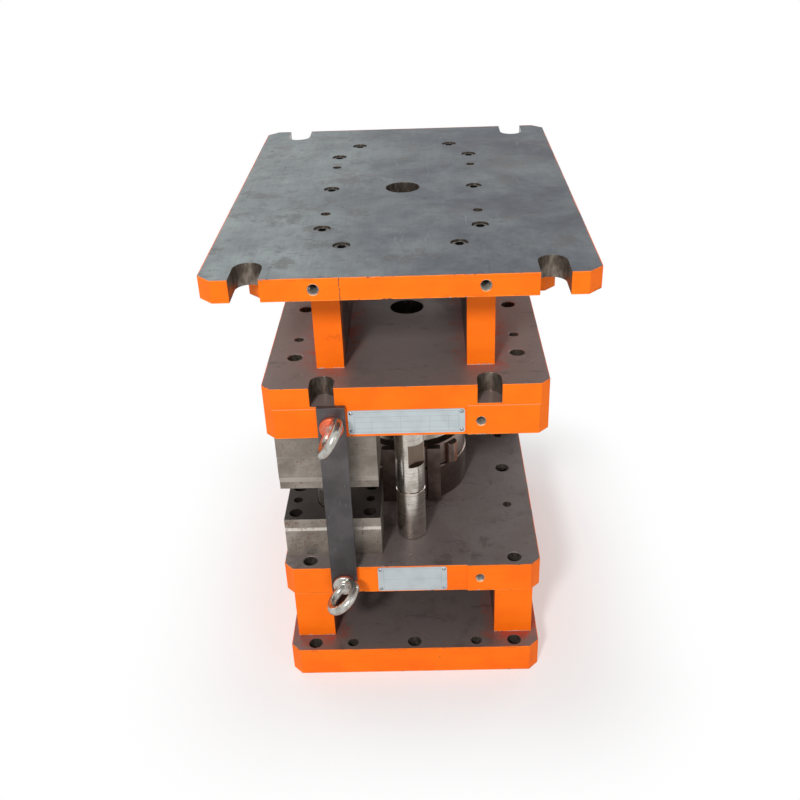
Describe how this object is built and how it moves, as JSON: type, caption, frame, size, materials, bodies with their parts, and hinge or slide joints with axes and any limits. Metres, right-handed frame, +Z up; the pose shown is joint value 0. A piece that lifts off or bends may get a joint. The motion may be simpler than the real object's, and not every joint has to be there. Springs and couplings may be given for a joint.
{
  "type": "drawing die",
  "caption": "Drawing die for a press: painted plates on spacers, guide posts and blocks, stop posts, draw punch, sprung blank holder, draw ring, knock-out, transport strap and eye bolts",
  "frame": {"origin": "centre of the footprint, on the floor under the bottom plate", "axes": "+X right across the die, -Y the front with the nameplates and the strap, +Z up"},
  "size_m": [0.5, 0.7, 0.72],
  "materials": {
    "orange_paint": "worn orange enamel on the edges, ground faces left bare",
    "ground_steel": "ground tool steel with oil stains",
    "block_steel": "pale ground steel with rust spots",
    "bright_steel": "turned and polished steel",
    "mill_steel": "dark mill scale",
    "black_screws": "blackened steel",
    "bush_bronze": "turned bronze",
    "name_aluminium": "satin aluminium"
  },
  "bodies": {
    "lower_half": {"bottom_plate": "orange_paint", "lower_spacer_left": "orange_paint", "lower_spacer_right": "orange_paint", "lower_shoe": "orange_paint", "lower_nameplate": "name_aluminium", "lower_nameplate_rivets": "name_aluminium", "lower_frame_screws": "black_screws", "lower_dowels": "bright_steel", "guide_block_front": "block_steel", "guide_block_back": "block_steel", "post_keeper_front": "block_steel", "post_keeper_back": "block_steel", "guide_post_front": "bright_steel", "guide_post_back": "bright_steel", "guide_block_screws": "black_screws", "guide_block_dowels": "bright_steel", "lower_stop_post_front": "bright_steel", "lower_stop_post_back": "bright_steel", "punch_base": "ground_steel", "draw_punch": "bright_steel", "punch_base_screws": "black_screws", "punch_screws": "black_screws", "lower_eye_bolt": "bright_steel"},
    "blank_holder": {"blank_holder_ring": "ground_steel", "guide_strips": "ground_steel", "cushion_pins": "bright_steel", "cushion_plate": "ground_steel"},
    "upper_half": {"upper_shoe": "orange_paint", "upper_spacer_left": "orange_paint", "upper_spacer_right": "orange_paint", "support_plate": "orange_paint", "clamp_plate": "orange_paint", "clamp_plate_screws": "black_screws", "upper_dowels": "bright_steel", "upper_spacer_screws": "black_screws", "packing_block_front": "block_steel", "packing_block_back": "block_steel", "bush_block_front": "block_steel", "bush_block_back": "block_steel", "bush_keeper_front": "block_steel", "bush_keeper_back": "block_steel", "guide_bush_front": "bush_bronze", "guide_bush_back": "bush_bronze", "bush_block_screws": "black_screws", "upper_stop_post_front": "bright_steel", "upper_stop_post_back": "bright_steel", "die_holder": "ground_steel", "draw_die": "bright_steel", "die_holder_screws": "black_screws", "draw_die_screws": "black_screws", "transport_strap": "mill_steel", "upper_eye_bolt": "bright_steel", "upper_nameplate": "name_aluminium", "upper_nameplate_rivets": "name_aluminium"},
    "knock_out": {"knock_out_pad": "ground_steel", "knock_out_rod": "bright_steel"}
  },
  "joints": [
    {"name": "press_stroke", "type": "slide", "parent": "lower_half", "child": "upper_half", "axis": [0, 0, 1], "range_m": [0, 0.09]},
    {"name": "blank_holder_lift", "type": "slide", "parent": "lower_half", "child": "blank_holder", "axis": [0, 0, 1], "range_m": [0, 0.052]},
    {"name": "knock_out_stroke", "type": "slide", "parent": "upper_half", "child": "knock_out", "axis": [0, 0, -1], "range_m": [0, 0.0415]}
  ],
  "couplings": [
    {"joint": "blank_holder_lift", "follows": "press_stroke", "ratio": 0.577},
    {"joint": "knock_out_stroke", "follows": "press_stroke", "ratio": 0.461}
  ]
}
